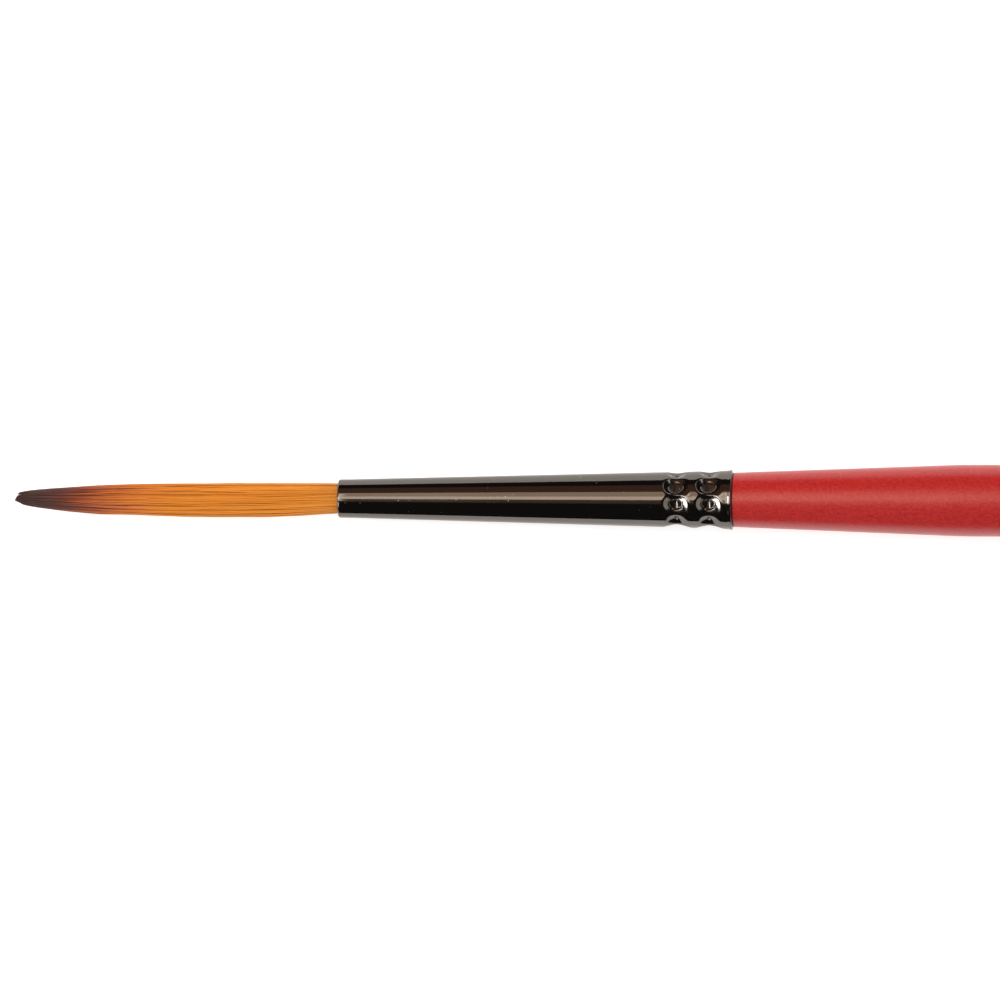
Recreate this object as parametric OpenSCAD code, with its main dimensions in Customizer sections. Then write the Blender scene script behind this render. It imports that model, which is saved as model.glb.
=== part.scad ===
// Fine detail brush: long thin round hair, seamless tapered ferrule with a double
// dimpled crimp, and a lacquered wooden handle. It lies along X, hair towards -X.
// The origin is on the surface that it lies on, under the middle of its length.

/* [Brush] */
// Whole length, from the tip of the hair to the tail of the handle
brush_len = 192; // [186:1:200]
// Length of hair showing in front of the ferrule
hair_out = 26; // [24:0.5:28]
// Radius of the hair where it is fullest
hair_r = 1.38; // [1.32:0.02:1.4]

/* [Ferrule] */
// Length of the ferrule
ferrule_len = 31.4; // [30.6:0.2:33]
// Outer radius at the front of the taper
front_r = 1.53; // [1.5:0.01:1.56]
// Radius that the taper gains over each millimetre
taper = 0.026; // [0.025:0.0005:0.028]
// Wall of the drawn tube
wall = 0.21; // [0.19:0.01:0.23]
// Radius of the rolled lip at the mouth
lip_r = 0.24; // [0.18:0.02:0.26]
// Radius of the opening inside the lip
mouth_bore_r = 1.23; // [1.22:0.01:1.25]
// How far the rear rim flares out of the taper
rim_flare = 0.04; // [0:0.01:0.06]

/* [Crimp] */
// Distance from the rear rim to the front crimp ring
crimp_front = 4.4; // [4.4:0.1:4.8]
// Distance between the two crimp rings
crimp_gap = 2.6; // [2.4:0.1:2.7]
// Half the width of a crimp ring
crimp_half = 1; // [0.9:0.05:1.05]
// How deep the outside of a crimp ring sinks
crimp_depth = 0.13; // [0.08:0.01:0.15]
// How deep the inside of a crimp ring bites into the tang
crimp_bite = 0.26; // [0.22:0.01:0.3]
// Dimples round each ring
dimples = 9; // [7:1:10]
// Radius of the punch that presses a dimple
punch_r = 1.3; // [1.2:0.05:1.5]
// Depth of a dimple under the taper
dimple_depth = 0.28; // [0.2:0.01:0.29]

/* [Handle] */
// Radius at the grip, where the handle is fullest
grip_r = 2.85; // [2.7:0.05:3]
// Length of the straight grip
grip_len = 20; // [16:1:24]
// Distance from the ferrule's rear rim to the grip
shoulder_len = 19.8; // [18:0.2:22]
// Radius at the slim tail
tail_r = 1.4; // [1.2:0.05:1.6]
// Thickness of the lacquer
coat = 0.18; // [0.16:0.01:0.22]

/* [Bend] */
// Distance from the mouth to the centre that the free hair bends about
pivot_out = 1.6; // [1.6:0.05:1.8]
// Furthest that the free hair bends to either side, in degrees
bend_limit = 45; // [30:5:45]
// Clearance between the fixed roots and the free hair
bend_gap = 0.06; // [0.05:0.01:0.1]

/* [Hidden] */

// Outlines are lists of [m, r]: m runs back from the ferrule's mouth, r out from the axis.
mouth_x = hair_out - brush_len / 2;
crimps = [ferrule_len - crimp_front, ferrule_len - crimp_front + crimp_gap];
flare_len = 1.2;
first_dimple = 10;
fit = 0.01;

// Tang, glue and coat
tang_front = 12;
glue = 0.04;
coat_start = ferrule_len - 0.4;

// Handle outline
handle_end = brush_len - hair_out;
grip_start = ferrule_len + shoulder_len;
grip_end = grip_start + grip_len;
tail_round = 2.4;
shoulder_blend = 4;

// Roots, thread and resin inside the ferrule
root_mouth_r = 1.21;
root_back = 8.6;
root_end_r = 1.26;
bound_r = 1.22;
thread_r = 0.1;
turns = 8;
thread_start = 6.2;
thread_end = thread_start + 2 * thread_r * turns;
resin_front = 4.5;
resin_back = 10.6;

// The hair is a ball at the bend, then swells and comes to a blunt tip
ball_r = 0.905 * hair_r;
socket_r = ball_r + bend_gap;
hair_shape = [[0.17, 0.965], [0.29, 1], [0.44, 0.99], [0.58, 0.94], [0.71, 0.855],
              [0.81, 0.73], [0.885, 0.61], [0.945, 0.485], [0.975, 0.36], [0.99, 0.2], [1, 0.04]];

// How much of a dip is left at m, from 1 at the middle of a crimp ring to 0 at its edge
function dip(m) = max([for (c = crimps)
    abs(m - c) < crimp_half ? (1 + cos(180 * (m - c) / crimp_half)) / 2 : 0]);
function flare(m) = rim_flare * pow(max(0, m - ferrule_len + flare_len) / flare_len, 2);
function cone_r(m) = front_r + taper * m + flare(m);
function outer_r(m) = cone_r(m) - crimp_depth * dip(m);
function inner_r(m) = cone_r(m) - wall - crimp_bite * dip(m);
function tang_r(m) = min(inner_r(m) - glue, neck_r - coat);
neck_r = inner_r(ferrule_len) - 2 * fit;
function backwards(list) = [for (i = [len(list) - 1:-1:0]) list[i]];

crimp_steps = [for (c = crimps, i = [-3:3]) c + crimp_half * i / 3];
tang_steps = concat([tang_front], crimp_steps, [coat_start]);

// Revolves an outline of [m, r] points about the brush's axis
module revolve(outline) {
    translate([mouth_x, 0, grip_r]) rotate([0, 90, 0])
        rotate_extrude($fn = 64) polygon([for (p = outline) [p[1], p[0]]]);
}

// Outside of the handle, from the coat's edge to the tail; inset leaves room for the coat
function handle_outline(inset) = concat(
    [[coat_start, inner_r(coat_start) - fit - inset], [ferrule_len, neck_r - inset]],
    [for (i = [0:3]) let (t = i / 3)
        [grip_start - shoulder_blend * (1 - t),
         grip_r - inset - (grip_r - neck_r) * 0.14 * pow(1 - t, 2)]],
    [for (i = [0:14]) let (t = i / 14, sink = (pow(t, 1.5) + (1 - cos(180 * t)) / 2) / 2)
        [grip_end + (handle_end - tail_round - grip_end) * t,
         grip_r - inset - (grip_r - tail_r) * sink]],
    [for (a = [22.5:22.5:90])
        [handle_end - inset - (tail_round - inset) * (1 - sin(a)), (tail_r - inset) * cos(a)]]);

module handle_core() {
    color("burlywood") revolve(concat([[tang_front, 0]],
        [for (m = tang_steps) [m, tang_r(m)]], handle_outline(coat)));
}

module handle_lacquer() {
    color([0.72, 0.16, 0.15])
        revolve(concat(handle_outline(0), backwards(handle_outline(coat))));
}

module tang_adhesive() {
    color([0.85, 0.75, 0.45]) revolve(concat(
        [for (m = tang_steps) [m, inner_r(m)]],
        backwards([for (m = tang_steps) [m, tang_r(m)]])));
}

// Quarter round of the rolled lip, from the mouth's face to the full radius
lip_arc = [for (a = [0:22.5:90]) [lip_r * (1 - cos(a)), outer_r(lip_r) - lip_r * (1 - sin(a))]];

// Tube with its rolled lip, sunk crimp rings and flared rim, before the dimples
module ferrule_tube() {
    rim_steps = [ferrule_len - flare_len / 2, ferrule_len];
    revolve(concat(
        [[0, mouth_bore_r]], lip_arc,
        [for (m = concat(crimp_steps, rim_steps)) [m, outer_r(m)]],
        [for (m = backwards(concat([2 * lip_r], crimp_steps, rim_steps))) [m, inner_r(m)]]));
}

// One punch of the crimping tool, turned round the axis by angle
module punch(m, angle) {
    translate([mouth_x + m, 0, grip_r]) rotate([angle, 0, 0])
        translate([0, 0, cone_r(m) - dimple_depth + punch_r]) sphere(punch_r, $fn = 48);
}

module ferrule() {
    color([0.3, 0.29, 0.28]) difference() {
        ferrule_tube();
        for (m = crimps, i = [0:dimples - 1]) punch(m, first_dimple + i * 360 / dimples);
    }
}

// Centre that the free hair bends about, on the axis in front of the mouth
module at_pivot() {
    translate([mouth_x - pivot_out, 0, grip_r]) children();
}

// Fixed roots: a hollow seat for the ball of the free hair, then the bound bundle.
// The seat's rim is cut back so far that the hair clears it at bend_limit.
module filament_root() {
    seat_angle = 90 - bend_limit - 3;
    seat_m = socket_r * cos(seat_angle) - pivot_out;
    color([0.82, 0.52, 0.22]) difference() {
        revolve([[seat_m, 0], [seat_m, socket_r * sin(seat_angle) + 2 * fit],
            [root_mouth_r / tan(seat_angle) - pivot_out, root_mouth_r], [0, root_mouth_r],
            [2 * lip_r, root_mouth_r + fit], [resin_front, inner_r(resin_front) - 2 * fit],
            [thread_start - thread_r, bound_r], [thread_end + thread_r, bound_r],
            [root_back, root_end_r], [root_back, 0]]);
        at_pivot() sphere(socket_r, $fn = 64);
    }
}

// Turns of thread, side by side, as one ridged sleeve round the bound roots
module root_binding() {
    color("ivory") revolve(concat(
        [[thread_end, bound_r + fit], [thread_start, bound_r + fit]],
        [for (t = [0:turns - 1], a = [157.5:-45:22.5])
            [thread_start + thread_r * (2 * t + 1 + cos(a)), bound_r + thread_r * (1 + sin(a))]]));
}

// Resin that fills the tube round the roots and thread, and closes it behind them
module root_epoxy() {
    clear_r = bound_r + 2 * thread_r + fit;
    color([0.8, 0.62, 0.25]) revolve([
        [resin_front, inner_r(resin_front)], [resin_back, inner_r(resin_back)],
        [resin_back, 0], [root_back, 0], [root_back, root_end_r],
        [thread_end + thread_r, bound_r], [thread_end + thread_r, clear_r],
        [thread_start - thread_r, clear_r], [thread_start - thread_r, bound_r],
        [resin_front, inner_r(resin_front) - 2 * fit]]);
}

// Free hair, with the ball that it turns on
module tuft() {
    neck = 0.25 * ball_r;
    color([0.76, 0.44, 0.17]) union() {
        at_pivot() sphere(ball_r, $fn = 64);
        revolve(concat([[-pivot_out - neck, 0], [-pivot_out - neck, 0.96 * ball_r]],
            [for (p = hair_shape) [-hair_out * p[0], hair_r * p[1]]], [[-hair_out, 0]]));
    }
}

handle_core();
handle_lacquer();
ferrule();
tang_adhesive();
filament_root();
root_binding();
root_epoxy();
tuft();
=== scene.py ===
"""Looks of a fine detail brush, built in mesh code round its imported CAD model.

Shapes are written in the brush's own terms: m is the distance in millimetres behind the
ferrule's mouth, s = -m the distance in front of it, r the radius from the axis, and an angle
turns from straight up towards -Y.
"""

import math

import bmesh
import bpy
import numpy as np
from mathutils import Euler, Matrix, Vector


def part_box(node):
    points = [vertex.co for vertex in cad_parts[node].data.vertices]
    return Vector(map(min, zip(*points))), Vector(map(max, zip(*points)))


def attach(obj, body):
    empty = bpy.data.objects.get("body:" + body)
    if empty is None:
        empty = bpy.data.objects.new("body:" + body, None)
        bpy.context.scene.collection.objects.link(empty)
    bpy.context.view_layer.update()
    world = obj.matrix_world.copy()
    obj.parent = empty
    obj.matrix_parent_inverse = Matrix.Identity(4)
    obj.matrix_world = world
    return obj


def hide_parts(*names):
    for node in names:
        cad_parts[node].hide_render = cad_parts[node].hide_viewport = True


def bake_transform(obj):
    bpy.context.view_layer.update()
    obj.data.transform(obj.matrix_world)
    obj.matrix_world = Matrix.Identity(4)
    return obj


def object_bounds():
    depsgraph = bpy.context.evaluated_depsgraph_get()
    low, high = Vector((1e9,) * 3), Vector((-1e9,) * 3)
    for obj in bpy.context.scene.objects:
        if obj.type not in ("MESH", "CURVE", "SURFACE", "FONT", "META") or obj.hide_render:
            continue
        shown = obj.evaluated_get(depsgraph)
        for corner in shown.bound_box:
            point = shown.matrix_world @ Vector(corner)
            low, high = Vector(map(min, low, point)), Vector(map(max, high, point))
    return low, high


MM = 0.001
BAKE_UV = "OFBake"
MERGE_DISTANCE = 1e-7

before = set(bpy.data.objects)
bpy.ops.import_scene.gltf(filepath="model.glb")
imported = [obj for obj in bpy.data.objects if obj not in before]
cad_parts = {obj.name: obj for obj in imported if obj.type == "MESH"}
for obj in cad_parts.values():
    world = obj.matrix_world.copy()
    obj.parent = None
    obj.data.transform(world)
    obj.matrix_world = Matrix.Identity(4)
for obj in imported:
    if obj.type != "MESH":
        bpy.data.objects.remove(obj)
cad_box = [list(corner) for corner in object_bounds()]

ferrule_lo, ferrule_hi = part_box("ferrule")
coat_lo, coat_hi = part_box("handle_lacquer")
MOUTH_X = ferrule_lo.x
AXIS_Z = (coat_lo.z + coat_hi.z) / 2
FERRULE_LEN = (ferrule_hi.x - MOUTH_X) / MM
HANDLE_END = (coat_hi.x - MOUTH_X) / MM
HAIR_OUT = (MOUTH_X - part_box("tuft")[0].x) / MM
GRIP_R = (coat_hi.z - coat_lo.z) / 2 / MM

# Dimensions in millimetres, as in the CAD source
FRONT_R, TAPER, WALL = 1.53, 0.026, 0.21
MOUTH_BORE_R = 1.23
RIM_FLARE, FLARE_LEN = 0.04, 1.2
CRIMPS = [FERRULE_LEN - 4.4, FERRULE_LEN - 1.8]
CRIMP_HALF, CRIMP_DEPTH = 1.0, 0.13
DIMPLES, FIRST_DIMPLE = 9, math.radians(10)
FIT, COAT = 0.01, 0.18
SHOULDER_LEN, GRIP_LEN, SHOULDER_BLEND = 19.8, 20.0, 4.0
TAIL_R, TAIL_ROUND = 1.4, 2.4
COAT_START = FERRULE_LEN - 0.4
BOUND_R, THREAD_R, THREAD_TURNS, THREAD_START = 1.22, 0.1, 8, 6.2
GLUE, TANG_FRONT = 0.04, 12.0
# Two that differ from it: the lip is tighter, and the crimps' inside makes room for deeper dimples
LIP_R, CRIMP_BITE = 0.16, 0.45


# ---------------------------------------------------------------- mesh helpers


def ring(count):
    """Angles of count points round a circle."""
    return np.arange(count) * 2 * math.pi / count


def place(m, r, angle):
    """Points in metres, in the CAD model's frame, from m, r and angle."""
    m, r, angle = np.broadcast_arrays(m, r, angle)
    return np.stack(
        [
            MOUTH_X + m * MM,
            -r * np.sin(angle) * MM,
            AXIS_Z + r * np.cos(angle) * MM,
        ],
        axis=-1,
    )


def make_object(name, verts, blocks, uvs):
    """A smooth-shaded object from vertices [n, 3] and blocks of equal-sided faces.

    A block holds the vertices of its faces [f, k], and its UVs are [f, k, 2]. All faces are
    turned over if the first block would face inwards.
    """
    first = verts[blocks[0]]
    swept = np.cross(first[:, 1] - first[:, 0], first[:, 2] - first[:, 0])
    if np.einsum("ij,ij->", swept, first.mean(1) - verts.mean(0)) < 0:
        blocks = [b[:, ::-1] for b in blocks]
        uvs = [u[:, ::-1] for u in uvs]
    mesh = bpy.data.meshes.new(name)
    mesh.vertices.add(len(verts))
    mesh.vertices.foreach_set("co", np.asarray(verts, np.float32).ravel())
    corners = np.concatenate([b.ravel() for b in blocks]).astype(np.int32)
    mesh.loops.add(len(corners))
    mesh.loops.foreach_set("vertex_index", corners)
    sizes = np.concatenate([np.full(len(b), b.shape[1]) for b in blocks])
    starts = np.concatenate([[0], np.cumsum(sizes)[:-1]]).astype(np.int32)
    mesh.polygons.add(len(sizes))
    mesh.polygons.foreach_set("loop_start", starts)
    mesh.update(calc_edges=True)
    mesh.polygons.foreach_set("use_smooth", np.ones(len(sizes), bool))
    layer = mesh.uv_layers.new(name=BAKE_UV)
    coords = np.concatenate([u.reshape(-1, 2) for u in uvs]).astype(np.float32)
    layer.uv.foreach_set("vector", coords.ravel())
    mesh.validate()
    obj = bpy.data.objects.new(name, mesh)
    bpy.context.scene.collection.objects.link(obj)
    return obj


def store_values(obj, name, values):
    """Stores one number for each vertex, for a material to read."""
    layer = obj.data.attributes.new(name, "FLOAT", "POINT")
    layer.data.foreach_set("value", np.asarray(values, np.float32).ravel())


def grid_faces(rows, cols, close_rows=False):
    """Quads and their UVs over a grid of points whose columns go round and meet."""
    bands = rows if close_rows else rows - 1
    i, j = np.meshgrid(np.arange(bands), np.arange(cols), indexing="ij")
    i, j = i.ravel(), j.ravel()
    corners = [(i, j), (i + 1, j), (i + 1, j + 1), (i, j + 1)]
    quads = np.stack([(a % rows) * cols + b % cols for a, b in corners], axis=1)
    uv = np.stack([np.stack([b / cols, a / bands], axis=1) for a, b in corners], axis=1)
    return quads, uv


def turned(name, outline, around, shape=None):
    """A closed surface turned round the axis in that many steps.

    The last [m, r] row of outline joins its first, and shape(m, r, angle) may move r. Rows on
    the axis become single points.
    """
    outline = np.asarray(outline, float)
    angle = ring(around)
    m, r = outline[:, :1], outline[:, 1:]
    radius = shape(m, r, angle) if shape else r + 0 * angle
    points = place(m, radius, angle)
    quads, uv = grid_faces(len(outline), around, close_rows=True)
    lengths = np.hypot(*np.diff(np.vstack([outline, outline[:1]]), axis=0).T)
    along = np.concatenate([[0], np.cumsum(lengths)]) / lengths.sum()
    uv[..., 1] = along[np.rint(uv[..., 1] * len(outline)).astype(int)]
    axis = outline[:, 1] == 0
    if not axis.any():
        return make_object(name, points.reshape(-1, 3), [quads], [uv])
    kept = ~(axis[quads // around].all(axis=1))
    obj = make_object(name, points.reshape(-1, 3), [quads[kept]], [uv[kept]])
    shell = bmesh.new()
    shell.from_mesh(obj.data)
    bmesh.ops.remove_doubles(shell, verts=shell.verts, dist=MERGE_DISTANCE)
    shell.to_mesh(obj.data)
    shell.free()
    return obj


def on_brush(obj, mat, cad_node):
    """Gives the piece its material, and sets it on the brush in place of a CAD node."""
    obj.data.materials.append(mat)
    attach(obj, "brush")
    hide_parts(cad_node)


# ------------------------------------------------------------ material helpers


def material(name, **sockets):
    """A new Principled material: (material, its node tree, the shader)."""
    mat = bpy.data.materials.new(name)
    mat.use_nodes = True
    shader = mat.node_tree.nodes["Principled BSDF"]
    for key, value in sockets.items():
        shader.inputs[key.replace("_", " ")].default_value = value
    return mat, mat.node_tree, shader


def node(tree, kind, inputs=None, **settings):
    """A new shader node. inputs maps socket to a value or to the socket that feeds it."""
    made = tree.nodes.new("ShaderNode" + kind)
    for key, value in settings.items():
        setattr(made, key, value)
    for key, value in (inputs or {}).items():
        if isinstance(value, bpy.types.NodeSocket):
            tree.links.new(value, made.inputs[key])
        else:
            made.inputs[key].default_value = value
    return made


def ramp(tree, fac, stops):
    """A colour ramp through (position, colour) stops."""
    made = node(tree, "ValToRGB", {"Fac": fac})
    elements = made.color_ramp.elements
    while len(elements) < len(stops):
        elements.new(0.5)
    for element, (position, colour) in zip(elements, stops):
        element.position = position
        element.color = (*colour, 1)
    return made.outputs["Color"]


def feed(tree, shader, **sockets):
    """Links the shader's named sockets to what feeds them."""
    for key, source in sockets.items():
        tree.links.new(source, shader.inputs[key.replace("_", " ")])


def spread(tree, value, low, high, start=0.0, end=1.0):
    """value from start..end to low..high."""
    limits = {"From Min": start, "From Max": end, "To Min": low, "To Max": high}
    return node(tree, "MapRange", {"Value": value, **limits}).outputs["Result"]


def maths(tree, operation, a, b):
    """a and b put together, where each is a number or a socket."""
    return node(tree, "Math", {0: a, 1: b}, operation=operation).outputs["Value"]


def stored(tree, name):
    """A number that is stored on the mesh's vertices."""
    return node(tree, "Attribute", attribute_name=name).outputs["Fac"]


def position(tree):
    """Place in the CAD model's frame, in metres."""
    return node(tree, "TexCoord").outputs["Object"]


def noise(tree, scale, detail, stretch=(1, 1, 1)):
    """Noise fixed to the brush: scale is in features per metre, and stretch divides it along each axis."""
    shrink = tuple(1 / k for k in stretch)
    where = node(tree, "Mapping", {"Vector": position(tree), "Scale": shrink}).outputs["Vector"]
    made = node(tree, "TexNoise", {"Vector": where, "Scale": scale, "Detail": detail})
    return made.outputs["Fac"]


def mixed(tree, fac, a, b, blend="MIX"):
    """Colour between a and b by fac, where each is a value or a socket."""
    made = node(tree, "Mix", data_type="RGBA", blend_type=blend)
    for index, value in ((0, fac), (6, a), (7, b)):
        if isinstance(value, bpy.types.NodeSocket):
            tree.links.new(value, made.inputs[index])
        else:
            made.inputs[index].default_value = value if index == 0 else (*value, 1)
    return made.outputs[2]


def bump(tree, shader, height, distance, strength):
    """Adds a bump of that height, distance in metres, to the shader."""
    made = node(tree, "Bump", {"Height": height, "Distance": distance, "Strength": strength})
    tree.links.new(made.outputs["Normal"], shader.inputs["Normal"])


def linear(red, green, blue, gain):
    """Linear colour from the 0-255 display values, times gain."""
    return tuple(
        gain * (c / 255 / 12.92 if c <= 10 else ((c / 255 + 0.055) / 1.055) ** 2.4)
        for c in (red, green, blue)
    )


# ------------------------------------------------------------------- materials

RED_DEEP = (0.335, 0.006, 0.0055)
RED_LIGHT = (0.485, 0.018, 0.0145)
RED_CLOUD = (0.37, 0.0085, 0.0075)
# Painted shadow: near-black colour for the line on the lacquer where the ferrule's rim shades it
RIM_PAINTED_SHADOW = (0.035, 0.006, 0.006)
PLATE_DARK = (0.105, 0.0965, 0.089)
PLATE_LIGHT = (0.139, 0.1285, 0.119)
PLATE_SPECK = (0.25, 0.23, 0.21)
HAIR_GRAIN = (0.3, 0.1, 0.03)
# Light that the floor gives off by itself
FLOOR_GLOW = 0.66
# Brightness of the hair's colours, and the length in millimetres that they run over
HAIR_GAIN, DYE_LENGTH = 1.06, 26
# Colour along a hair, by millimetres from the mouth
HAIR_STOPS = [
    (s / DYE_LENGTH, linear(*display, HAIR_GAIN))
    for s, display in [
        (0, (210, 137, 50)),
        (3, (220, 140, 40)),
        (13.5, (218, 135, 38)),
        (16, (212, 125, 44)),
        (18, (198, 111, 44)),
        (19.4, (180, 94, 46)),
        (20.8, (148, 71, 45)),
        (21.6, (115, 53, 41)),
        (22.4, (92, 50, 49)),
        (23.8, (54, 42, 47)),
        (26, (45, 40, 47)),
    ]
]


def lacquer_material():
    """Satin red lacquer with fine speckle and orange peel, and a painted shadow: a dark line against the
    ferrule, where its rim shades the lacquer.
    """
    mat, tree, shader = material("red_lacquer", IOR=1.5)
    speckle = noise(tree, 5200, 3.0)
    cloud = noise(tree, 260, 2.0, (4, 1, 1))
    base = mixed(tree, spread(tree, speckle, 0.0, 1.0, 0.36, 0.66), RED_DEEP, RED_LIGHT)
    base = mixed(tree, spread(tree, cloud, 0.0, 0.35), base, RED_CLOUD)
    along = node(tree, "SeparateXYZ", {"Vector": position(tree)}).outputs["X"]
    # Painted shadow: the lacquer turns to a dark line just behind the ferrule's rim, where the rim shades it
    shadow_start, shadow_end = ferrule_hi.x + 5e-5, ferrule_hi.x + 2e-4
    base = mixed(tree, spread(tree, along, 0.85, 0.0, shadow_start, shadow_end), base, RIM_PAINTED_SHADOW)
    feed(tree, shader, Base_Color=base, Roughness=spread(tree, speckle, 0.27, 0.39))
    bump(tree, shader, noise(tree, 3300, 3.0), distance=6e-6, strength=0.6)
    return mat


def plating_material():
    """Black-nickel plating: a dark mirror with faint drawing marks and dust specks."""
    mat, tree, shader = material("black_nickel", Metallic=1.0, Specular_Tint=(0.85, 0.85, 0.85, 1))
    marks = noise(tree, 5200, 3.0, (30, 1, 1))
    smudge = noise(tree, 420, 3.0, (3, 1, 1))
    speck = spread(tree, noise(tree, 4200, 1.0), 0.0, 1.0, 0.74, 0.8)
    base = mixed(tree, speck, mixed(tree, marks, PLATE_DARK, PLATE_LIGHT), PLATE_SPECK)
    dull = stored(tree, "pressed")
    rough = maths(tree, "ADD", spread(tree, smudge, 0.05, 0.13), spread(tree, speck, 0.0, 0.2))
    rough = maths(tree, "ADD", rough, spread(tree, dull, 0.0, 0.1))
    feed(tree, shader, Base_Color=base, Roughness=rough)
    drawn = spread(tree, noise(tree, 3000, 2.0, (24, 1, 1)), 0.0, 0.2)
    struck = maths(tree, "MULTIPLY", noise(tree, 11000, 2.0), dull)
    bump(tree, shader, maths(tree, "ADD", drawn, struck), distance=6e-6, strength=0.5)
    return mat


def filament_material():
    """Nylon filament: golden, dyed from reddish brown to near black at the tip."""
    mat, tree, shader = material("dyed_filament", IOR=1.5, Specular_IOR_Level=0.2)
    colour = ramp(tree, stored(tree, "dye"), HAIR_STOPS)
    shades = [(0.0, (0.62, 0.5, 0.42)), (0.45, (0.95, 0.95, 0.95)), (1.0, (1.22, 1.26, 1.35))]
    colour = mixed(tree, 1.0, colour, ramp(tree, stored(tree, "tint"), shades), "MULTIPLY")
    grain = noise(tree, 9000, 2.0, (40, 1, 1))
    base = mixed(tree, spread(tree, grain, 0.0, 0.3), colour, HAIR_GRAIN)
    feed(tree, shader, Base_Color=base, Roughness=spread(tree, grain, 0.34, 0.5))
    return mat


def wood_material():
    """Pale close-grained wood."""
    mat, tree, shader = material("turned_wood")
    rings = noise(tree, 1400, 3.0, (30, 1, 1))
    fleck = noise(tree, 6000, 2.0, (18, 1, 1))
    stops = [(0.3, (0.42, 0.24, 0.11)), (0.55, (0.62, 0.41, 0.22)), (0.8, (0.7, 0.5, 0.3))]
    base = mixed(tree, spread(tree, fleck, 0.0, 0.3), ramp(tree, rings, stops), (0.3, 0.16, 0.07))
    feed(tree, shader, Base_Color=base, Roughness=spread(tree, fleck, 0.5, 0.75))
    bump(tree, shader, rings, distance=1e-5, strength=0.4)
    return mat


def resin_material(name, clear, cloudy, rough):
    """Set resin or glue, cloudy in places."""
    mat, tree, shader = material(name, IOR=1.55)
    cloud = noise(tree, 900, 4.0)
    base = mixed(tree, cloud, clear, cloudy)
    feed(tree, shader, Base_Color=base, Roughness=spread(tree, cloud, rough, rough + 0.2))
    bump(tree, shader, noise(tree, 2600, 2.0), distance=4e-6, strength=0.5)
    return mat


def thread_material():
    """Twisted undyed thread."""
    mat, tree, shader = material("thread", Sheen_Weight=0.3)
    fibre = noise(tree, 14000, 3.0, (1, 6, 6))
    base = ramp(tree, fibre, [(0.3, (0.5, 0.44, 0.33)), (0.7, (0.8, 0.76, 0.65))])
    feed(tree, shader, Base_Color=base, Roughness=spread(tree, fibre, 0.7, 0.9))
    bump(tree, shader, fibre, distance=8e-6, strength=0.6)
    return mat


def floor_material():
    """Plain pale floor, which also glows, so that the brush's shade on it is faint."""
    mat, tree, shader = material("pale_floor", Roughness=0.9, Specular_IOR_Level=0.0)
    shader.inputs["Emission Color"].default_value = (1, 1, 1, 1)
    shader.inputs["Emission Strength"].default_value = FLOOR_GLOW
    base = ramp(tree, noise(tree, 3.0, 2.0), [(0.0, (0.7, 0.7, 0.7)), (1.0, (0.72, 0.72, 0.72))])
    feed(tree, shader, Base_Color=base)
    return mat


# --------------------------------------------------------------------- ferrule

# Bead near the rear rim: half its height, its distance in front of the rim, half its width
BEAD_RISE, BEAD_BACK, BEAD_HALF = 0.016, 0.2, 0.08
RIM_ROUND = 0.05


def dip(m):
    """Share of a crimp ring's sinking at m, from 1 at its middle to 0 at its edge."""
    share = np.zeros_like(m)
    for c in CRIMPS:
        wave = (1 + np.cos(math.pi * (m - c) / CRIMP_HALF)) / 2
        share = np.maximum(share, np.where(abs(m - c) < CRIMP_HALF, wave, 0))
    return share


def cone_r(m):
    """Outer radius of the ferrule's taper, with its flared rim, before the crimps."""
    m = np.asarray(m, float)
    flare = RIM_FLARE * (np.maximum(0, m - FERRULE_LEN + FLARE_LEN) / FLARE_LEN) ** 2
    return FRONT_R + TAPER * m + flare


def bead(m):
    """Height of the small step in front of the rear rim."""
    return BEAD_RISE * (1 + np.tanh((m - FERRULE_LEN + BEAD_BACK) / BEAD_HALF))


def inner_r(m):
    """Radius of the ferrule's inside."""
    m = np.asarray(m, float)
    return cone_r(m) - WALL - CRIMP_BITE * dip(m)


def smooth_min(a, b, width):
    """The lower of a and b, with the corner between them rounded over width."""
    h = np.clip(0.5 + 0.5 * (b - a) / width, 0, 1)
    return b + (a - b) * h - width * h * (1 - h)


# A dimple is a shallow funnel with a deeper round pit in it, and a groove across the pit's floor.
# A dimple's own distances are along the tube, across it, and straight from its middle.
PIT_R, SMALL_PIT_R = 0.56, 0.16
ACROSS_SCALE = 1.03
PIT_EDGE, PIT_FLOOR = 0.24, 0.36
PIT_SLOPE, PIT_ROUND = 0.12, 0.1
PIT_TILT, PIT_BOWL = 0.16, 0.16
WALL_SLOPE, WALL_OUT = 1.1, 0.03
GROOVE_DEPTH, GROOVE_MIDDLE, GROOVE_HALF = 0.034, 0.03, 0.085
FUNNEL_SLOPE, FUNNEL_SHIFT = 0.5, 0.03
# The funnel's slope eases off on one side
FUNNEL_EASE, FUNNEL_SKEW = 0.35, 0.5
# Where the funnel starts to rise: at FUNNEL_START + FUNNEL_SHARE * the pit's radius
FUNNEL_START, FUNNEL_SHARE, FUNNEL_DIP = 0.23, 0.59, 0.1
# Raised crest round the pit
CREST_HEIGHT, CREST_MIDDLE, CREST_HALF = 0.006, 0.05, 0.05
# Rounding of the pit's floor, the pit's mouth, the dimple's rim and the ring
ROUND_FLOOR, ROUND_MOUTH, ROUND_RIM, ROUND_RING = 0.02, 0.03, 0.08, 0.05
# No dimple reaches further than this from its middle
DIMPLE_REACH = 1.6
# Steps round the ferrule, and distance between its rows over the crimps
FERRULE_STEPS, FINE_STEP = 480, 0.045


def dimples_at(m, angle):
    """Each dimple's pit radius, and how far m and angle are from its middle: along, across, straight."""
    for c in CRIMPS:
        for k in range(DIMPLES):
            turn = angle - FIRST_DIMPLE - k * 2 * math.pi / DIMPLES
            turn = (turn + math.pi) % (2 * math.pi) - math.pi
            across = ACROSS_SCALE * cone_r(c) * turn
            yield (SMALL_PIT_R if k % 3 == 1 else PIT_R), m - c, across, np.hypot(m - c, across)


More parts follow.
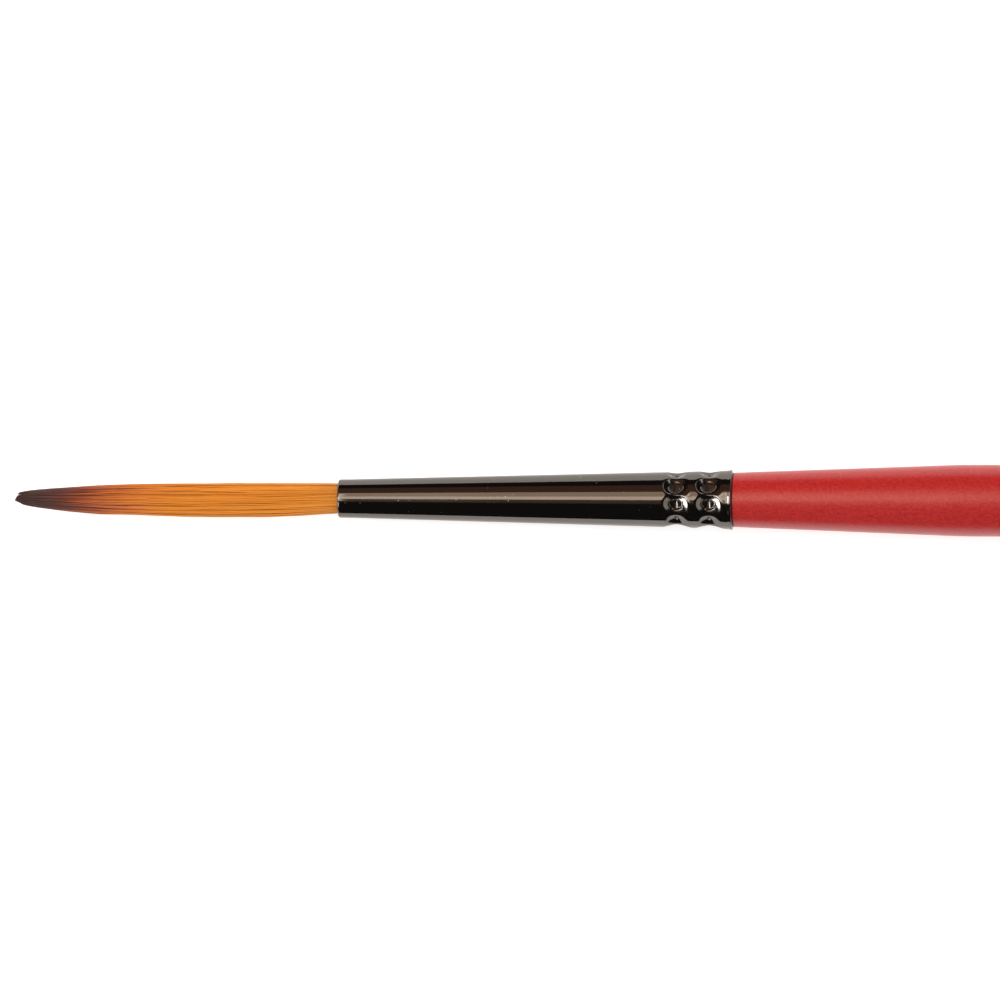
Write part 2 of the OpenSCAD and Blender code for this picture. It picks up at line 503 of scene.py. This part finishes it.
def pressed(m, angle):
    """1 in a dimple's pit, 0.25 just outside it, fading to 0 at 0.74 mm from its edge."""
    beyond = np.min([straight - size for size, _, _, straight in dimples_at(m, angle)], axis=0)
    past_pit = np.clip((beyond + 0.06) / 0.12, 0, 1)
    past_funnel = np.clip((beyond - 0.24) / 0.5, 0, 1)
    return 1 - past_pit * 0.75 - past_funnel * 0.25


def dimpled(m, angle):
    """Radius of the ferrule's outside at m and angle, with the two rings of dimples."""
    depth = np.zeros(np.broadcast_shapes(m.shape, angle.shape))
    for size, along, across, straight in dimples_at(m, angle):
        wide = np.hypot(along, across + FUNNEL_SHIFT)
        ease = np.clip((across + FUNNEL_SKEW * along) / np.maximum(wide, 0.1), 0, 1) ** 2
        slope = FUNNEL_SLOPE * (1 - FUNNEL_EASE * ease)
        mouth = FUNNEL_START + FUNNEL_SHARE * size
        funnel = -PIT_EDGE + slope * np.maximum(wide - mouth, -FUNNEL_DIP)
        floor = -PIT_FLOOR + PIT_SLOPE * (np.hypot(along, PIT_ROUND) - PIT_ROUND)
        floor = floor - PIT_TILT * across + PIT_BOWL * across**2
        floor = floor - GROOVE_DEPTH * np.exp(-(((along - GROOVE_MIDDLE) / GROOVE_HALF) ** 2))
        wall = -PIT_EDGE - WALL_SLOPE * (size + WALL_OUT - straight)
        pit = -smooth_min(-floor, -wall, ROUND_FLOOR)
        low = smooth_min(funnel, pit, ROUND_MOUTH)
        low = low + CREST_HEIGHT * np.exp(-(((straight - size - CREST_MIDDLE) / CREST_HALF) ** 2))
        sunk = np.minimum(depth, smooth_min(0 * low, low, ROUND_RIM))
        depth = np.where(straight < DIMPLE_REACH, sunk, depth)
    sinking = -CRIMP_DEPTH * dip(m) + 0 * depth
    return cone_r(m) + bead(m) + smooth_min(sinking, depth, ROUND_RING)


def ferrule_outline():
    """[m, r] rows round the tube's wall from the mouth: the lip, the outside, the rest."""
    arc = np.radians(np.linspace(0, 90, 13))
    shoulder = float(cone_r(LIP_R))
    lip = np.stack([LIP_R * (1 - np.cos(arc)), shoulder - LIP_R * (1 - np.sin(arc))], axis=1)

    # fine rows over the crimps, and over the bead and rim
    fine_start, fine_end = CRIMPS[0] - 1.25, CRIMPS[1] + 1.15
    rim_m = FERRULE_LEN - RIM_ROUND
    outside = np.concatenate(
        [
            np.linspace(LIP_R, fine_start, 26)[1:],
            np.arange(fine_start, fine_end, FINE_STEP)[1:],
            np.linspace(fine_end, FERRULE_LEN - 0.36, 5),
            np.linspace(FERRULE_LEN - 0.34, rim_m, 14),
        ]
    )

    edge = np.radians([35, 70, 110, 145])
    half = WALL / 2 + BEAD_RISE
    middle = float(cone_r(FERRULE_LEN)) - WALL + half
    rim = np.stack([rim_m + RIM_ROUND * np.sin(edge), middle + half * np.cos(edge)], axis=1)
    bites = [c + CRIMP_HALF * k / 4 for c in CRIMPS for k in range(-4, 5)]
    inside = [2 * LIP_R, 8.0, 16.0, 24.0, *bites, FERRULE_LEN - FLARE_LEN / 2, rim_m]
    inside = np.array(inside)[::-1]
    bore = [[0.2, MOUTH_BORE_R + 0.02], [0.08, MOUTH_BORE_R], [0.02, MOUTH_BORE_R + 0.012]]
    rest = np.vstack([rim, np.stack([inside, inner_r(inside)], axis=1), bore])
    return lip, np.stack([outside, cone_r(outside)], axis=1), rest


def build_ferrule():
    """The tube as one closed mesh, with its lip, crimp rings, dimples, bead and flared rim."""
    lip, outside, rest = ferrule_outline()
    outline = np.vstack([lip, outside, rest])
    rows = np.arange(len(outline))[:, None]
    dimply = (rows >= len(lip)) & (rows < len(lip) + len(outside))

    def shape(m, r, angle):
        return np.where(dimply, dimpled(m, angle), r + 0 * angle)

    obj = turned("plated_ferrule", outline, FERRULE_STEPS, shape)
    dull = pressed(outline[:, :1], ring(FERRULE_STEPS))
    store_values(obj, "pressed", np.where(dimply, dull, 0.0))
    on_brush(obj, plating_material(), "ferrule")


# ---------------------------------------------------------------------- handle

NECK_R = float(inner_r(FERRULE_LEN)) - 2 * FIT
# Share of the rise to the grip that the rounded end of the shoulder takes
SHOULDER_ROUND = 0.14
# The lacquer sinks where it meets the ferrule: depth, middle behind the rim, half width
EDGE_DEPTH, EDGE_MIDDLE, EDGE_HALF = 0.05, 0.03, 0.07
# The glue stays this far off the ferrule's inside
FILM_GAP = 0.002


def handle_outline(inset):
    """[m, r] rows from the coat's end inside the ferrule to the tail; inset is the coat's thickness, or 0."""
    grip_start = FERRULE_LEN + SHOULDER_LEN
    grip_end = grip_start + GRIP_LEN
    tail_start = HANDLE_END - TAIL_ROUND
    foot, edge_end = grip_start - SHOULDER_BLEND, FERRULE_LEN + 0.3
    rise = (GRIP_R - NECK_R) * SHOULDER_ROUND
    rows = [[COAT_START, float(inner_r(COAT_START)) - FIT]]
    rows += [[m, NECK_R] for m in np.linspace(FERRULE_LEN - 0.15, FERRULE_LEN, 4)]
    cone = [*np.linspace(FERRULE_LEN, edge_end, 9)[1:], *np.linspace(edge_end, foot, 12)[1:-1]]
    rows += [[m, np.interp(m, [FERRULE_LEN, foot], [NECK_R, GRIP_R - rise])] for m in cone]
    for t in np.linspace(0, 1, 10):
        rows.append([grip_start - SHOULDER_BLEND * (1 - t), GRIP_R - rise * (1 - t) ** 2])
    rows += [[m, GRIP_R] for m in np.linspace(grip_start, grip_end, 8)[1:-1]]
    for t in np.linspace(0, 1, 60):
        sink = (t**1.5 + (1 - math.cos(math.pi * t)) / 2) / 2
        rows.append([grip_end + (tail_start - grip_end) * t, GRIP_R - (GRIP_R - TAIL_R) * sink])
    rows = [[m, r - inset] for m, r in rows]
    length, radius = TAIL_ROUND - inset, TAIL_R - inset
    for a in np.radians(np.linspace(4, 88, 22)):
        rows.append([HANDLE_END - inset - length * (1 - math.sin(a)), radius * math.cos(a)])
    return rows + [[HANDLE_END - inset, 0.0]]


def build_handle():
    """The lacquer coat, the wooden core in it, and the film of glue round the core's tang."""
    outline = []
    for m, r in handle_outline(0) + handle_outline(COAT)[::-1]:
        sunk = EDGE_DEPTH * math.exp(-(((m - FERRULE_LEN - EDGE_MIDDLE) / EDGE_HALF) ** 2))
        outline.append([m, max(0, r - sunk)])
    on_brush(turned("lacquer_coat", outline, 192), lacquer_material(), "handle_lacquer")

    bites = [c + CRIMP_HALF * np.linspace(-1, 1, 9) for c in CRIMPS]
    steps = np.concatenate([[TANG_FRONT], *bites, [COAT_START]])
    tang = np.stack([steps, np.minimum(inner_r(steps) - GLUE, NECK_R - COAT)], axis=1)
    bare = [[m, r] for m, r in handle_outline(COAT) if m > COAT_START]
    core = turned("turned_core", np.vstack([[[TANG_FRONT, 0]], tang, bare]), 96)
    on_brush(core, wood_material(), "handle_core")

    film = np.vstack([np.stack([steps, inner_r(steps) - FILM_GAP], axis=1), tang[::-1]])
    glue = resin_material("tang_glue", (0.6, 0.47, 0.2), (0.78, 0.66, 0.4), 0.35)
    on_brush(turned("tang_glue", film, 96), glue, "tang_adhesive")


# ------------------------------------------------------------ thread and resin

PLIES, PLY_TWIST = 3, 5.0
# Outline of the plies, in shares of the thread's radius
LOBE_R, LOBE_DEPTH = 0.84, 0.14
THREAD_SIDES, TURN_STEPS = 15, 48


def build_binding():
    """Thread of three plies, wound round the roots, with its ends tucked in."""
    steps = THREAD_TURNS * TURN_STEPS
    t = np.linspace(0, THREAD_TURNS, steps)[:, None]
    sink = THREAD_R * (1 - np.clip(np.minimum(t, THREAD_TURNS - t) * 4, 0, 1))
    around = ring(THREAD_SIDES)
    lobes = THREAD_R * (LOBE_R + LOBE_DEPTH * np.cos(PLIES * (around - t * PLY_TWIST)))
    m = THREAD_START + THREAD_R * (1 + 2 * t * (1 - 1 / THREAD_TURNS)) + lobes * np.cos(around)
    r = BOUND_R + FIT + THREAD_R - sink * 0.5 + lobes * np.sin(around)
    points = place(m, r, t * 2 * math.pi).reshape(-1, 3)
    quads, uv = grid_faces(steps, THREAD_SIDES)
    side = np.arange(THREAD_SIDES)
    ends = np.array([side, (steps - 1) * THREAD_SIDES + side[::-1]])
    end_uv = np.zeros((2, THREAD_SIDES, 2))
    obj = make_object("binding_thread", points, [quads, ends], [uv, end_uv])
    on_brush(obj, thread_material(), "root_binding")


def finish_hidden():
    """Material of the resin plug, whose CAD shape stays."""
    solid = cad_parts["root_epoxy"]
    resin = resin_material("root_resin", (0.5, 0.27, 0.07), (0.68, 0.46, 0.18), 0.15)
    solid.data.materials.clear()
    solid.data.materials.append(resin)


# -------------------------------------------------------------------- filaments

HAIRS = 560
PIECES = 8
# Share of the hairs that lie inside the bundle and have fewer faces
INNER_SHARE = 0.42
# Rings of a hair in the ferrule, its rings past the bend, and its sides
OUTER_MESH, INNER_MESH = (9, 37, 8), (7, 24, 6)
ROOT_S, BEND_END, BEND_RINGS = -8.5, 4.5, 14
# Rings are closer together over the last part of a hair
TIP_SHARE, TIP_RINGS = 0.88, 7
HAIR_SEED, LOCK_SEED = 11, 5
# Cross-sections of all hairs together, as a share of the bundle's
HAIR_FILL = 1.22
# A hair narrows to END_SHARE of its thickness, as steeply as from all to none in END_TAPER, and
# closes with a short point
END_SHARE, END_TAPER, POINT_LEN = 0.22, 1.6, 0.03
# The tip is furthest out at PEAK_SIDE of the bundle's radius, and is cut back all round that
PEAK_SIDE, CUT_BEFORE, CUT_PAST, CUT_UP = 0.4, 0.26, 1.15, 0.5
# How far hairs end short of the CAD tuft there, and how much that varies
END_GAP, END_SPREAD = 0.045, 0.07
# Spread of the hairs' angles, and of how far they turn in each millimetre in front of the mouth
ANGLE_SPREAD, DRIFT_SPREAD = 0.05, 0.0035
# How far a hair wanders, where in front of the mouth that is full, and its slowest and fastest pace
WANDER, WANDER_FULL, SLOW, FAST = 0.028, 4, 0.25, 0.7
# How strongly the tip gathers into locks, from where and over what length
GATHER, GATHER_FROM, GATHER_LEN = 0.34, 22.5, 3.5
# Width and margin of a hair in its own column of the UVs, and heights of its root and last ring
UV_WIDTH, UV_MARGIN, UV_ROOT, UV_TIP = 0.86, 0.07, 0.002, 0.995
# Outline of the bundle: s, sag of its middle towards -Y, radius
BUNDLE = np.array(
    [
        (-8.5, 0, 1.235),
        (-7.9, 0, 1.205),
        (-6.1, 0, 1.205),
        (-4.6, 0, 1.35),
        (-0.6, 0, 1.215),
        (-0.2, 0, 1.205),
        (0, 0, 1.205),
        (0.8, 0.015, 1.24),
        (3, 0.08, 1.3),
        (6, 0.145, 1.365),
        (9, 0.165, 1.38),
        (12, 0.178, 1.36),
        (14, 0.163, 1.325),
        (16, 0.148, 1.27),
        (19, 0.158, 1.168),
        (20.4, 0.145, 1.065),
        (21.7, 0.135, 0.96),
        (23, 0.1, 0.84),
        (24, 0.08, 0.75),
        (24.8, 0.06, 0.66),
        (25.4, 0.05, 0.53),
        (26.1, 0.08, 0.43),
    ]
)
# Grooves between locks of hair: angle in degrees, middle, half length, how far they part
GROOVES = [
    (23, 14.5, 4.5, 0.06),
    (56, 9.5, 6.0, 0.07),
    (-47, 17.5, 4.0, 0.05),
    (-12, 6.0, 4.5, 0.035),
    (5, 20.5, 3.5, 0.045),
    (38, 4.5, 3.5, 0.04),
    (-30, 10.0, 5.0, 0.035),
    (90, 15, 6.0, 0.06),
    (-80, 12, 6.0, 0.06),
    (125, 14, 6.0, 0.06),
    (-125, 13, 6.0, 0.06),
    (165, 12, 6.0, 0.06),
]
# Half width of a groove round the bundle, in radians
GROOVE_SPREAD = 0.16
# Strands that took the dye further back: angle and half width in degrees, how much further
STREAKS = [
    (20, 2.6, 5.6),
    (31, 2.5, 2.6),
    (42, 2.2, 3.8),
    (56, 3.0, 3.4),
    (-23, 2.5, 2.0),
    (-33, 3.0, 2.3),
    (-47, 3.6, 4.4),
    (-62, 3.0, 2.6),
    (100, 6.0, 3.0),
    (-100, 6.0, 3.0),
    (170, 8.0, 3.0),
]
# Only hairs outside this share of the bundle's radius are in these streaks
STREAK_DEPTH = 0.7
# This share of all hairs, at random, took it further back too, by at least and at most this much
STRAY_SHARE, STRAY_LEAST, STRAY_MOST = 0.08, 1, 4
# Spread of how far back the dye starts, how much further on both sides, and how much less towards -Y
DYE_SPREAD, DYE_SIDES, DYE_SLANT = 0.7, 1.1, 0.35
# Middle and spread of a hair's tint, from dark to light
TINT, TINT_SPREAD = 0.49, 0.14
# The extra dye sets in at TAKE_FROM over TAKE_LEN, and ends at TAKE_END over END_LEN
TAKE_FROM, TAKE_LEN, TAKE_END, END_LEN = 9, 9, 27, 4
# Middles of the locks that the tip gathers in, on the unit disc
LOCKS = np.random.default_rng(LOCK_SEED).uniform(-0.85, 0.85, (15, 2))


def hair_angle(ids):
    """Angle of each hair, which spreads them evenly over the bundle."""
    return ids * math.pi * (3 - math.sqrt(5))


def off_by(angle, degrees):
    """Signed angle from degrees, within half a turn."""
    return (angle - math.radians(degrees) + math.pi) % (2 * math.pi) - math.pi


def ring_places(end, rings_in, rings_out):
    """Distance s of each ring of each hair: even in the ferrule and at the bend, closer at the tip."""
    inside = np.linspace(ROOT_S, 0, rings_in, endpoint=False)
    bend = np.linspace(0, BEND_END, BEND_RINGS, endpoint=False)
    along = np.linspace(0, TIP_SHARE, rings_out - TIP_RINGS, endpoint=False)
    rest = np.concatenate([along, np.linspace(TIP_SHARE, 1, TIP_RINGS)])
    fixed = np.repeat(np.concatenate([inside, bend])[None], len(end), 0)
    return np.concatenate([fixed, BEND_END + (end[:, None] - BEND_END) * rest], axis=1)


def hair_paths(rng, ids, rings_in, rings_out):
    """Middle lines [hair, ring, (s, side, up)] and radii [hair, ring] of those hairs.

    side runs towards -Y and up towards +Z. Each hair's angle and its share of the bundle's
    radius come third and fourth.
    """
    total = len(ids)
    share = np.sqrt((ids + 0.5) / HAIRS)
    angle = hair_angle(ids) + rng.normal(0, ANGLE_SPREAD, total)
    side, up = share * np.sin(angle), share * np.cos(angle)

    past = side - PEAK_SIDE
    drop = np.where(past < 0, -CUT_BEFORE * past, CUT_PAST * past) + CUT_UP * up**2
    end = HAIR_OUT - END_GAP - drop - np.abs(rng.normal(0, END_SPREAD, total))
    s = ring_places(end, rings_in, rings_out)
    sag = np.interp(s, BUNDLE[:, 0], BUNDLE[:, 1])
    radius = np.interp(s, BUNDLE[:, 0], BUNDLE[:, 2])
    taper = np.clip(END_SHARE + (end[:, None] - s) / END_TAPER, END_SHARE, 1)
    thick = radius * math.sqrt(HAIR_FILL / HAIRS) * taper

    # slow wander of each hair, grooves between locks, and locks that gather at the tip
    phase = rng.uniform(0, 2 * math.pi, (4, total, 1))
    pace = rng.uniform(SLOW, FAST, (2, total, 1))
    wander = WANDER * np.clip(s / WANDER_FULL, 0, 1)
    drift_side = np.sin(pace[0] * s + phase[0]) + 0.5 * np.sin(2.1 * pace[1] * s + phase[1])
    drift_up = np.sin(pace[1] * s + phase[2]) + 0.5 * np.sin(1.9 * pace[0] * s + phase[3])
    turn = angle[:, None] + rng.normal(0, DRIFT_SPREAD, total)[:, None] * np.clip(s, 0, None)
    for degrees, middle, half, parted in GROOVES:
        off = off_by(turn, degrees)
        window = np.clip(1 - ((s - middle) / half) ** 2, 0, 1)
        turn = turn + parted * window * np.sign(off) * np.exp(-((off / GROOVE_SPREAD) ** 2))
    room = radius - thick
    x_side = share[:, None] * np.sin(turn) * room + wander * drift_side
    x_up = share[:, None] * np.cos(turn) * room + wander * drift_up
    over = np.maximum(1, np.hypot(x_side, x_up) / room)
    x_side, x_up = x_side / over, x_up / over
    gap = (side[:, None] - LOCKS[:, 0]) ** 2 + (up[:, None] - LOCKS[:, 1]) ** 2
    lock = LOCKS[np.argmin(gap, axis=1)]
    pull = GATHER * np.clip((s - GATHER_FROM) / GATHER_LEN, 0, 1) ** 1.5
    x_side += pull * (lock[:, :1] * room - x_side)
    x_up += pull * (lock[:, 1:] * room - x_up)
    return np.stack([s, x_side + sag, x_up], axis=-1), thick, angle, share


def tubes(lines, thick, sides):
    """Vertices, face blocks and UVs of tapered tubes, each closed by a flat root and a point at its tip."""
    count, rings = thick.shape
    around = ring(sides)
    side = lines[..., 1:2] + thick[..., None] * np.sin(around)
    up = lines[..., 2:3] + thick[..., None] * np.cos(around)
    s = lines[..., :1] + 0 * around
    tip = lines[:, -1:] + [POINT_LEN, 0, 0]
    shape = np.stack([s, side, up], axis=-1).reshape(count, -1, 3)
    s, side, up = np.moveaxis(np.concatenate([shape, tip], axis=1), -1, 0)
    points = np.stack([MOUTH_X - s * MM, -side * MM, AXIS_Z + up * MM], axis=-1)

    quads, uv = grid_faces(rings, sides)
    uv[..., 1] *= UV_TIP
    last = (rings - 1) * sides
    j = np.arange(sides)
    fan = np.stack([last + j, np.full(sides, rings * sides), last + (j + 1) % sides], axis=1)
    across = np.stack([j, j + 0.5, j + 1], axis=1) / sides
    fan_uv = np.stack([across, np.broadcast_to([UV_TIP, 1, UV_TIP], across.shape)], axis=2)
    root = j[None, :]
    root_uv = np.stack([j / sides, np.full(sides, UV_ROOT)], axis=1)[None]
    jump = (np.arange(count) * points.shape[1])[:, None, None]
    blocks = [(f[None] + jump).reshape(-1, f.shape[1]) for f in (quads, fan, root)]
    return points.reshape(-1, 3), blocks, [uv, fan_uv, root_uv]


def dye_and_tint(rng, lines, turn, share, sides):
    """How far along the dye each vertex of those hairs is, and how light each vertex's hair is."""
    total = len(turn)
    s = np.concatenate([np.repeat(lines[..., 0], sides, axis=1), lines[:, -1:, 0]], axis=1)
    aside = share * np.sin(turn)
    ahead = rng.normal(0, DYE_SPREAD, total) + DYE_SIDES * aside**4 - DYE_SLANT * aside
    stray = np.where(rng.random(total) < STRAY_SHARE, rng.uniform(STRAY_LEAST, STRAY_MOST, total), 0)
    for degrees, half, extra in STREAKS:
        near = np.exp(-((off_by(turn, degrees) / math.radians(half)) ** 2))
        ahead = ahead + extra * near * (share > STREAK_DEPTH)
    taken = np.clip((s - TAKE_FROM) / TAKE_LEN, 0, 1)
    ending = np.clip((TAKE_END - s) / END_LEN, 0, 1)
    dye = (s + (ahead + stray)[:, None] * taken * ending) / DYE_LENGTH
    tint = np.repeat(np.clip(rng.normal(TINT, TINT_SPREAD, total), 0, 1), s.shape[1])
    return dye.ravel(), tint


def joined(parts):
    """Face blocks and UVs of parts that become one mesh, with the hairs side by side in UV.

    A part is (hair count, points, face blocks, UVs).
    """
    hairs = sum(part[0] for part in parts)
    blocks, uvs, done, base = [], [], 0, 0
    for count, points, part_blocks, part_uvs in parts:
        for faces, uv in zip(part_blocks, part_uvs):
            blocks.append(faces + base)
            strip = np.repeat(uv[None], count, 0)
            column = done + np.arange(count)[:, None, None]
            strip[..., 0] = (strip[..., 0] * UV_WIDTH + UV_MARGIN + column) / hairs
            uvs.append(strip.reshape(-1, uv.shape[1], 2))
        done += count
        base += len(points)
    return blocks, uvs


def build_filaments():
    """Each hair as its own tapered tube, in pieces that are sectors of the bundle."""
    rng = np.random.default_rng(HAIR_SEED)
    mat = filament_material()
    ids = np.arange(HAIRS)
    sector = (hair_angle(ids) % (2 * math.pi) / (2 * math.pi) * PIECES).astype(int)
    outer = ids > INNER_SHARE * HAIRS
    for piece in range(PIECES):
        parts, dyes, tints = [], [], []
        for layer, (rings_in, rings_out, sides) in ((outer, OUTER_MESH), (~outer, INNER_MESH)):
            chosen = ids[(sector == piece) & layer]
            lines, thick, turn, share = hair_paths(rng, chosen, rings_in, rings_out)
            parts.append((len(chosen), *tubes(lines, thick, sides)))
            dye, tint = dye_and_tint(rng, lines, turn, share, sides)
            dyes.append(dye)
            tints.append(tint)
        verts = np.concatenate([points for _, points, _, _ in parts])
        obj = make_object(f"filaments_{piece + 1}", verts, *joined(parts))
        store_values(obj, "dye", np.concatenate(dyes))
        store_values(obj, "tint", np.concatenate(tints))
        obj.data.materials.append(mat)
        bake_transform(obj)
        if piece == 0:
            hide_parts("filament_root", "tuft")


# --------------------------------------------------------------- studio, camera

# How far the view leans from upright towards the tail, and how far that turns about the upright
VIEW_LEAN, VIEW_ROLL = math.radians(5), math.radians(0.19)
# Length of the axis that the view takes in, and its middle behind the mouth and towards +Y, in metres
VIEW_WIDTH, VIEW_X, VIEW_Y = 0.07972, 0.012868, -0.000075
LENS, SENSOR = 800, 36
FLOOR_HALF, FLOOR_GAP = 20.0, 2e-5
# Strength of the surroundings as seen directly, in diffuse light and in reflections
SEEN, DIFFUSE, REFLECTED = 1.0, 0.66, 0.035


def flat(name, x, y, z, mat):
    """A level rectangle that isn't part of the brush. It faces down, or up where y runs backwards."""
    mesh = bpy.data.meshes.new(name)
    corners = [(a, b, z) for a, b in ((x[0], y[0]), (x[0], y[1]), (x[1], y[1]), (x[1], y[0]))]
    mesh.from_pydata(corners, [], [(0, 1, 2, 3)])
    mesh.materials.append(mat)
    obj = bpy.data.objects.new(name, mesh)
    bpy.context.scene.collection.objects.link(obj)
    return obj


def panel(name, x, y, height, colour, diffuse=True, glossy=True):
    """A light panel of that radiance, level and height metres above the axis.

    x and y are its limits in metres from the mouth. x is moved along by as much as the leaning
    view's reflections are at that height.
    """
    mat = bpy.data.materials.new(name)
    mat.use_nodes = True
    tree = mat.node_tree
    tree.nodes.clear()
    glow = node(tree, "Emission", {"Color": (*colour, 1), "Strength": 1.0})
    node(tree, "OutputMaterial", {"Surface": glow.outputs["Emission"]})
    cx = MOUTH_X - height * math.tan(VIEW_LEAN)
    obj = flat(name, (cx + x[0], cx + x[1]), y, AXIS_Z + height, mat)
    obj.visible_camera = False
    obj.visible_shadow = False
    obj.visible_diffuse = diffuse
    obj.visible_glossy = glossy


def build_studio():
    """Floor, light panels and pale surroundings. Positive y is the side that is up in the view."""
    x, y = (-FLOOR_HALF, FLOOR_HALF), (FLOOR_HALF, -FLOOR_HALF)
    flat("floor", x, y, cad_box[0][2] - FLOOR_GAP, floor_material())

    panel("strip_bright", (-1.2, 0.12), (-0.021, 0.128), 0.6, (2.95, 2.48, 2.1))
    panel("strip_warm", (-1.2, 0.12), (0.128, 0.39), 0.6, (1.54, 1.14, 0.84))
    panel("strip_dim", (-1.2, 0.3), (0.43, 1.2), 0.6, (0.26, 0.13, 0.085))
    panel("strip_fade", (-1.2, 0.05), (-0.2, -0.021), 0.6, (0.25, 0.16, 0.115))
    panel("softbox", (-1.4, -0.72), (-0.95, -0.31), 0.6, (13.0, 12.7, 12.4), diffuse=False)
    panel("top_card", (-0.8, -0.61), (-1.0, -0.5), 0.59, (13.0, 12.7, 12.4), diffuse=False)
    panel("side_card", (-0.39, -0.28), (-0.16, 0.16), 0.59, (14.0, 13.7, 13.4), diffuse=False)
    panel("rim_card", (-0.2, -0.048), (-0.14, 0.3), 0.58, (3.6, 3.2, 2.8), diffuse=False)
    panel("back_card", (0.45, 0.62), (0.6, 1.5), 0.6, (2.2, 2.1, 2.0), diffuse=False)
    panel("flag", (-1.0, 1.0), (-3.0, -0.027), -0.00275, (0, 0, 0), diffuse=False)
    panel("mouth_card", (-2.4, -0.62), (-0.08, 0.1), 0.58, (9.0, 8.8, 8.6), diffuse=False)
    panel("left_card", (0.5, 1.1), (-0.75, 0.2), 0.6, (1.35, 1.2, 1.05), diffuse=False)
    panel("overhead", (-0.6, 0.6), (0.1, 0.9), 1.0, (3.45, 3.45, 3.45), glossy=False)

    world = bpy.data.worlds.new("studio")
    bpy.context.scene.world = world
    world.use_nodes = True
    tree = world.node_tree
    back = tree.nodes["Background"]
    back.inputs["Color"].default_value = (1, 1, 1, 1)
    ray = node(tree, "LightPath").outputs
    seen = spread(tree, ray["Is Camera Ray"], DIFFUSE, SEEN)
    strength = node(tree, "Mix", {0: ray["Is Glossy Ray"], 2: seen, 3: REFLECTED}).outputs[0]
    tree.links.new(strength, back.inputs["Strength"])
    bpy.context.scene.view_settings.view_transform = "Standard"


def build_camera():
    """Looks down on the hair, the ferrule and the first part of the handle, leaning towards the tail."""
    data = bpy.data.cameras.new("camera")
    data.lens = LENS
    data.sensor_width = SENSOR
    data.dof.use_dof = False
    camera = bpy.data.objects.new("camera", data)
    bpy.context.scene.collection.objects.link(camera)
    away = VIEW_WIDTH * math.cos(VIEW_LEAN) * LENS / SENSOR
    turn = Euler((0, VIEW_LEAN, VIEW_ROLL))
    target = Vector((MOUTH_X + VIEW_X, VIEW_Y, AXIS_Z))
    camera.location = target + turn.to_matrix() @ Vector((0, 0, away))
    camera.rotation_euler = turn
    bpy.context.scene.camera = camera


build_camera()
build_studio()
build_handle()
build_ferrule()
build_binding()
finish_hidden()
build_filaments()
